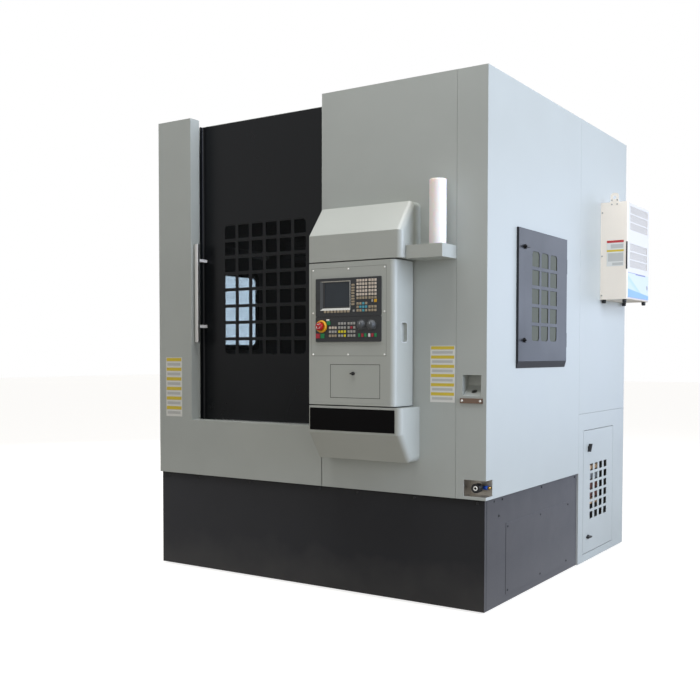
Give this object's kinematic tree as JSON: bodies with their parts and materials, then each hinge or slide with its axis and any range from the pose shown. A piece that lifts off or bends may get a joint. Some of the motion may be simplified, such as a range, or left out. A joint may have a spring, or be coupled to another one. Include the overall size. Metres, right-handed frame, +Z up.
{
  "type": "cnc vertical lathe",
  "caption": "Boxy sheet-metal machine around a vertical chuck spindle and tool turret, with a sliding front door, swinging control box, side door, vented electrics door and cooling unit.",
  "frame": {"origin": "on the floor under the middle of the whole outline", "axes": "+Z up, -Y towards the operator at the front, +X to the right as the operator sees it"},
  "size_m": [2.264, 2.378, 2.6],
  "materials": {
    "grey_paint": "satin light grey paint",
    "side_grey_paint": "satin light grey paint",
    "plinth_black": "satin black paint",
    "door_black": "gloss black paint",
    "control_grey": "smooth light grey paint",
    "inner_white": "plain galvanised or painted inner sheet",
    "casting_grey": "painted casting",
    "machined_steel": "turned and ground steel",
    "handle_steel": "brushed stainless",
    "motor_black": "semi-gloss black paint",
    "belt_rubber": "moulded belt",
    "smoked_glass": "smoked laminated pane",
    "olive_glass": "tinted pane",
    "unit_dark": "matt dark bezel",
    "screen_dark": "switched-off display",
    "key_grey": "moulded keys",
    "stop_red": "moulded mushroom head",
    "knob_black": "moulded knob",
    "lamp_white": "milky diffuser",
    "ac_white": "warm white powder coat",
    "module_plastic": "moulded electrical modules on a plate",
    "coupling_brass": "plated coupling"
  },
  "bodies": {
    "machine": {"base_casting": "casting_grey", "levelling_feet": "machined_steel", "column_casting": "casting_grey", "plinth_panels": "plinth_black", "left_front_frame": "grey_paint", "left_wall": "grey_paint", "left_window_glass": "smoked_glass", "cabinet_front": "grey_paint", "corner_panel": "grey_paint", "right_side_panel": "side_grey_paint", "electrics_upper_panel": "side_grey_paint", "electrics_lower_panel": "side_grey_paint", "electrics_partition": "inner_white", "rear_wall": "grey_paint", "roof_panel": "grey_paint", "door_tracks": "machined_steel", "control_hood": "control_grey", "control_base": "control_grey", "hinge_pins": "machined_steel", "lamp_tray": "control_grey", "signal_lamp": "lamp_white", "corner_pockets": "machined_steel", "air_coupling": "coupling_brass", "ac_case": "ac_white", "chip_pan": "inner_white", "spindle_housing": "casting_grey", "spindle_motor": "motor_black", "drive_belt": "belt_rubber", "cross_rails": "machined_steel", "electrics_board": "module_plastic"},
    "door": {"door_panel": "door_black", "door_glass": "smoked_glass", "door_handle": "handle_steel", "door_hangers": "machined_steel"},
    "control": {"control_box": "control_grey", "panel_plate": "control_grey", "panel_units": "unit_dark", "display_screen": "screen_dark", "panel_keys": "key_grey"},
    "stop_button": {"estop_button": "stop_red"},
    "knob_left": {"override_knob_left": "knob_black"},
    "knob_right": {"override_knob_right": "knob_black"},
    "flap": {"pocket_flap": "control_grey"},
    "flap_key": {"flap_latch": "knob_black"},
    "inspection_door": {"side_door": "door_black", "side_door_glass": "olive_glass"},
    "inspection_latch_upper": {"side_latch_upper": "knob_black"},
    "inspection_latch_lower": {"side_latch_lower": "knob_black"},
    "electrics_door": {"vent_door": "side_grey_paint"},
    "electrics_latch_upper": {"vent_latch_upper": "knob_black"},
    "electrics_latch_lower": {"vent_latch_lower": "knob_black"},
    "spindle": {"spindle_shaft": "machined_steel", "chuck_body": "machined_steel"},
    "jaw_a": {"chuck_jaw_a": "machined_steel"},
    "jaw_b": {"chuck_jaw_b": "machined_steel"},
    "jaw_c": {"chuck_jaw_c": "machined_steel"},
    "motor_rotor": {"motor_pulley": "machined_steel"},
    "saddle": {"cross_saddle": "casting_grey"},
    "ram": {"z_ram": "casting_grey"},
    "turret": {"turret_disc": "machined_steel"}
  },
  "joints": [
    {"name": "door_slide", "type": "slide", "parent": "machine", "child": "door", "axis": [1, 0, 0], "range_m": [0, 0.82]},
    {"name": "control_swing", "type": "hinge", "parent": "machine", "child": "control", "pos_m": [0.097, -0.989, 1.345], "axis": [0, 0, -1], "range_deg": [0, 75]},
    {"name": "stop_press", "type": "slide", "parent": "control", "child": "stop_button", "axis": [0, 1, 0], "range_m": [0, 0.006], "stiffness_N_per_m": 600},
    {"name": "knob_left_turn", "type": "hinge", "parent": "control", "child": "knob_left", "pos_m": [0.394, -1.155, 1.386], "axis": [0, -1, 0], "range_deg": [-140, 140]},
    {"name": "knob_right_turn", "type": "hinge", "parent": "control", "child": "knob_right", "pos_m": [0.452, -1.155, 1.386], "axis": [0, -1, 0], "range_deg": [-140, 140]},
    {"name": "flap_turn", "type": "hinge", "parent": "control", "child": "flap", "pos_m": [0.351, -1.1448, 1.0345], "axis": [1, 0, 0], "range_deg": [0, 95]},
    {"name": "flap_key_turn", "type": "hinge", "parent": "flap", "child": "flap_key", "pos_m": [0.342, -1.148, 1.148], "axis": [0, -1, 0], "range_deg": [0, 90]},
    {"name": "inspection_swing", "type": "hinge", "parent": "machine", "child": "inspection_door", "pos_m": [0.9745, 0.079, 1.526], "axis": [0, 0, 1], "range_deg": [0, 110]},
    {"name": "inspection_latch_upper_turn", "type": "hinge", "parent": "inspection_door", "child": "inspection_latch_upper", "pos_m": [0.981, -0.531, 1.788], "axis": [1, 0, 0], "range_deg": [0, 90]},
    {"name": "inspection_latch_lower_turn", "type": "hinge", "parent": "inspection_door", "child": "inspection_latch_lower", "pos_m": [0.981, -0.531, 1.315], "axis": [1, 0, 0], "range_deg": [0, 90]},
    {"name": "electrics_swing", "type": "hinge", "parent": "machine", "child": "electrics_door", "pos_m": [0.96, 0.96, 0.422], "axis": [0, 0, 1], "range_deg": [0, 105]},
    {"name": "electrics_latch_upper_turn", "type": "hinge", "parent": "electrics_door", "child": "electrics_latch_upper", "pos_m": [0.968, 0.501, 0.685], "axis": [1, 0, 0], "range_deg": [0, 90]},
    {"name": "electrics_latch_lower_turn", "type": "hinge", "parent": "electrics_door", "child": "electrics_latch_lower", "pos_m": [0.968, 0.501, 0.149], "axis": [1, 0, 0], "range_deg": [0, 90]},
    {"name": "spindle_turn", "type": "hinge", "parent": "machine", "child": "spindle", "pos_m": [-0.428, -0.361, 0.88], "axis": [0, 0, 1], "continuous": true},
    {"name": "jaw_a_slide", "type": "slide", "parent": "spindle", "child": "jaw_a", "axis": [0, 1, 0], "range_m": [-0.012, 0]},
    {"name": "jaw_b_slide", "type": "slide", "parent": "spindle", "child": "jaw_b", "axis": [-0.866, -0.5, 0], "range_m": [-0.012, 0]},
    {"name": "jaw_c_slide", "type": "slide", "parent": "spindle", "child": "jaw_c", "axis": [0.866, -0.5, 0], "range_m": [-0.012, 0]},
    {"name": "motor_turn", "type": "hinge", "parent": "machine", "child": "motor_rotor", "pos_m": [0.267, -0.361, 0.23], "axis": [0, 0, 1], "continuous": true},
    {"name": "cross_slide", "type": "slide", "parent": "machine", "child": "saddle", "axis": [1, 0, 0], "range_m": [-0.615, 0]},
    {"name": "ram_slide", "type": "slide", "parent": "saddle", "child": "ram", "axis": [0, 0, 1], "range_m": [-0.47, 0]},
    {"name": "turret_index", "type": "hinge", "parent": "ram", "child": "turret", "pos_m": [0.167, -0.361, 1.8], "axis": [0, 1, 0], "continuous": true}
  ],
  "couplings": [
    {"joint": "jaw_b_slide", "follows": "jaw_a_slide", "ratio": 1},
    {"joint": "jaw_c_slide", "follows": "jaw_a_slide", "ratio": 1},
    {"joint": "motor_turn", "follows": "spindle_turn", "ratio": 2}
  ]
}
